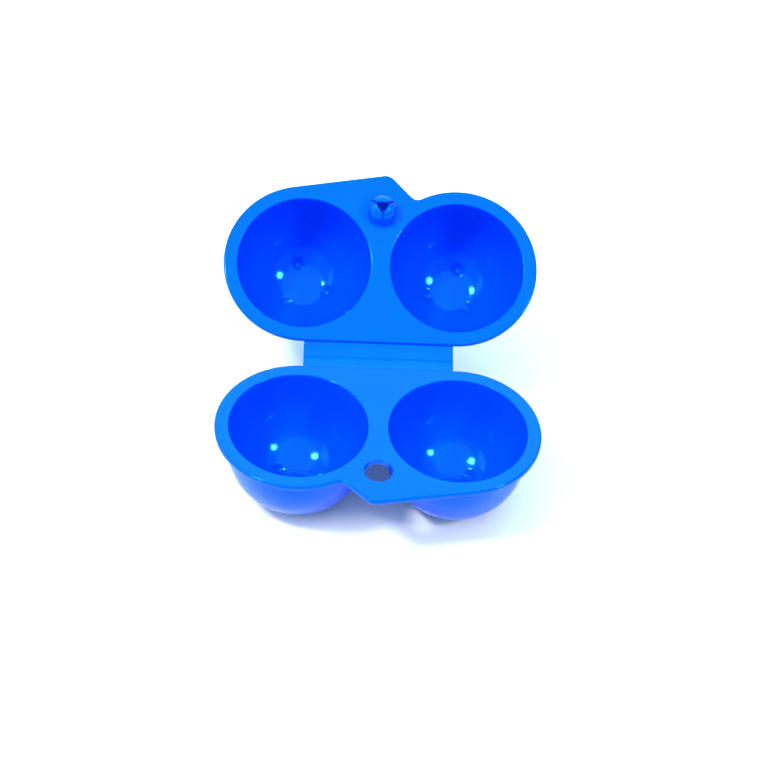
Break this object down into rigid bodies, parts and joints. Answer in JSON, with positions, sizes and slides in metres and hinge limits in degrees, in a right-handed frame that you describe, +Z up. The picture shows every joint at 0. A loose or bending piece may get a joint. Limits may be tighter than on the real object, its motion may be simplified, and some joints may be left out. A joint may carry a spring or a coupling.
{
  "type": "egg storage box",
  "caption": "Clamshell box with deep round cups hung from flat rim plates, a moulded strap hinge along the back and a split stud on the lid that snaps into a hole by the front tab.",
  "frame": {"origin": "middle of the footprint, on the surface that the base half stands on, with the lid open as pictured", "axes": "+X along the row of cups, +Y from the front tab to the hinge and the open lid, +Z up"},
  "size_m": [0.1238, 0.1404, 0.0745],
  "materials": {
    "polypropylene": "smooth moulded gloss, bright blue"
  },
  "bodies": {
    "base": {"base_shell": "polypropylene", "hinge_strap": "polypropylene"},
    "lid": {"lid_shell": "polypropylene", "snap_prong_front": "polypropylene", "snap_prong_left": "polypropylene", "snap_prong_right": "polypropylene"}
  },
  "joints": [
    {"name": "lid_fold", "type": "hinge", "parent": "base", "child": "lid", "pos_m": [0, 0.0048, 0.03615], "axis": [-1, 0, 0], "range_deg": [-149, 31], "deforming": ["hinge_strap"]}
  ]
}
